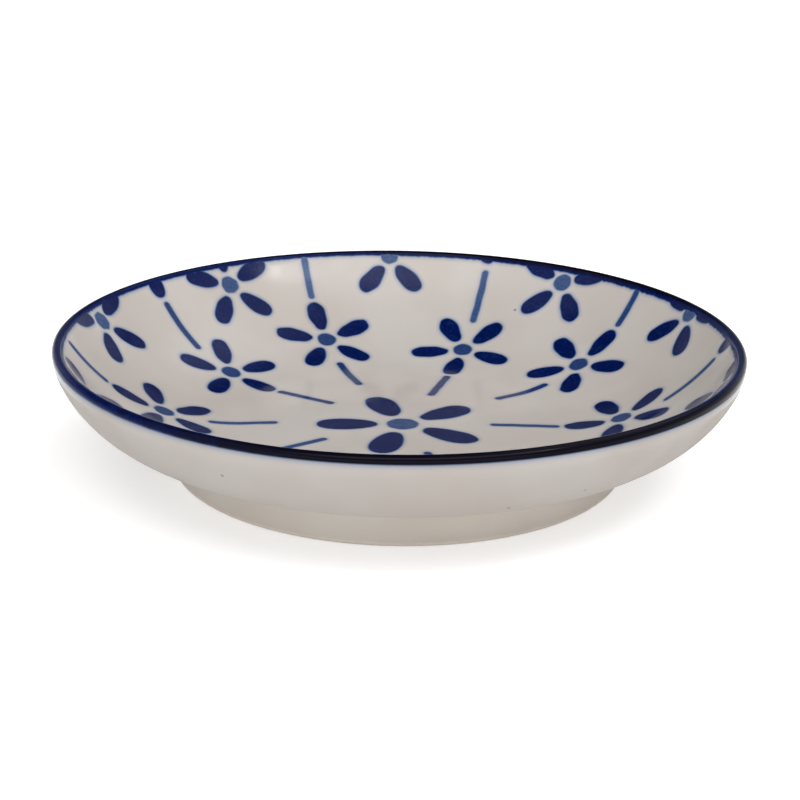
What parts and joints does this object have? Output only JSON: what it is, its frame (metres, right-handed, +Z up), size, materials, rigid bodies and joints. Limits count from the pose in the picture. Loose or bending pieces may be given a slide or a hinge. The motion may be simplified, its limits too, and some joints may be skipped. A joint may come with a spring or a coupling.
{
  "type": "soy sauce dish",
  "caption": "Shallow round porcelain sauce dish on a foot ring, with a dark blue rim and blue flowers with stems printed inside, to hold soy sauce for dipping.",
  "frame": {"origin": "on the bowl's axis, on the surface that the foot rests on", "axes": "+Z up along the bowl's axis, +X to the right in the picture, +Y away from the viewer"},
  "size_m": [0.0952, 0.0952, 0.0184],
  "materials": {
    "glazed_porcelain": "glossy clear glaze over grey-white porcelain",
    "foot_porcelain": "glazed, with a bare matt edge where it rests",
    "rim_blue": "glossy, dark cobalt under the glaze, brown-black where it is thick",
    "dark_blue": "glossy, dark cobalt print under the glaze",
    "light_blue": "glossy, mid blue print under the glaze"
  },
  "bodies": {
    "root": {"bowl": "glazed_porcelain", "foot_ring": "foot_porcelain", "rim_band": "rim_blue", "middle_flower_petals": "dark_blue", "middle_flower_eye": "light_blue", "rim_petal_tips": "dark_blue", "near_flower_1_petals": "dark_blue", "near_flower_2_petals": "dark_blue", "near_flower_3_petals": "dark_blue", "near_flower_4_petals": "dark_blue", "near_flower_5_petals": "dark_blue", "far_flower_1_petals": "dark_blue", "far_flower_2_petals": "dark_blue", "far_flower_3_petals": "dark_blue", "far_flower_4_petals": "dark_blue", "far_flower_5_petals": "dark_blue", "low_flower_1_petals": "dark_blue", "low_flower_2_petals": "dark_blue", "low_flower_3_petals": "dark_blue", "low_flower_4_petals": "dark_blue", "low_flower_5_petals": "dark_blue", "high_flower_1_petals": "dark_blue", "high_flower_2_petals": "dark_blue", "high_flower_3_petals": "dark_blue", "high_flower_4_petals": "dark_blue", "high_flower_5_petals": "dark_blue", "near_flower_1_eye": "light_blue", "near_flower_2_eye": "light_blue", "near_flower_3_eye": "light_blue", "near_flower_4_eye": "light_blue", "near_flower_5_eye": "light_blue", "far_flower_1_eye": "light_blue", "far_flower_2_eye": "light_blue", "far_flower_3_eye": "light_blue", "far_flower_4_eye": "light_blue", "far_flower_5_eye": "light_blue", "low_flower_1_eye": "light_blue", "low_flower_2_eye": "light_blue", "low_flower_3_eye": "light_blue", "low_flower_4_eye": "light_blue", "low_flower_5_eye": "light_blue", "high_flower_1_eye": "light_blue", "high_flower_2_eye": "light_blue", "high_flower_3_eye": "light_blue", "high_flower_4_eye": "light_blue", "high_flower_5_eye": "light_blue", "near_stems_1": "light_blue", "near_stems_2": "light_blue", "near_stems_3": "light_blue", "near_stems_4": "light_blue", "near_stems_5": "light_blue", "far_stems_1": "light_blue", "far_stems_2": "light_blue", "far_stems_3": "light_blue", "far_stems_4": "light_blue", "far_stems_5": "light_blue"}
  },
  "joints": []
}
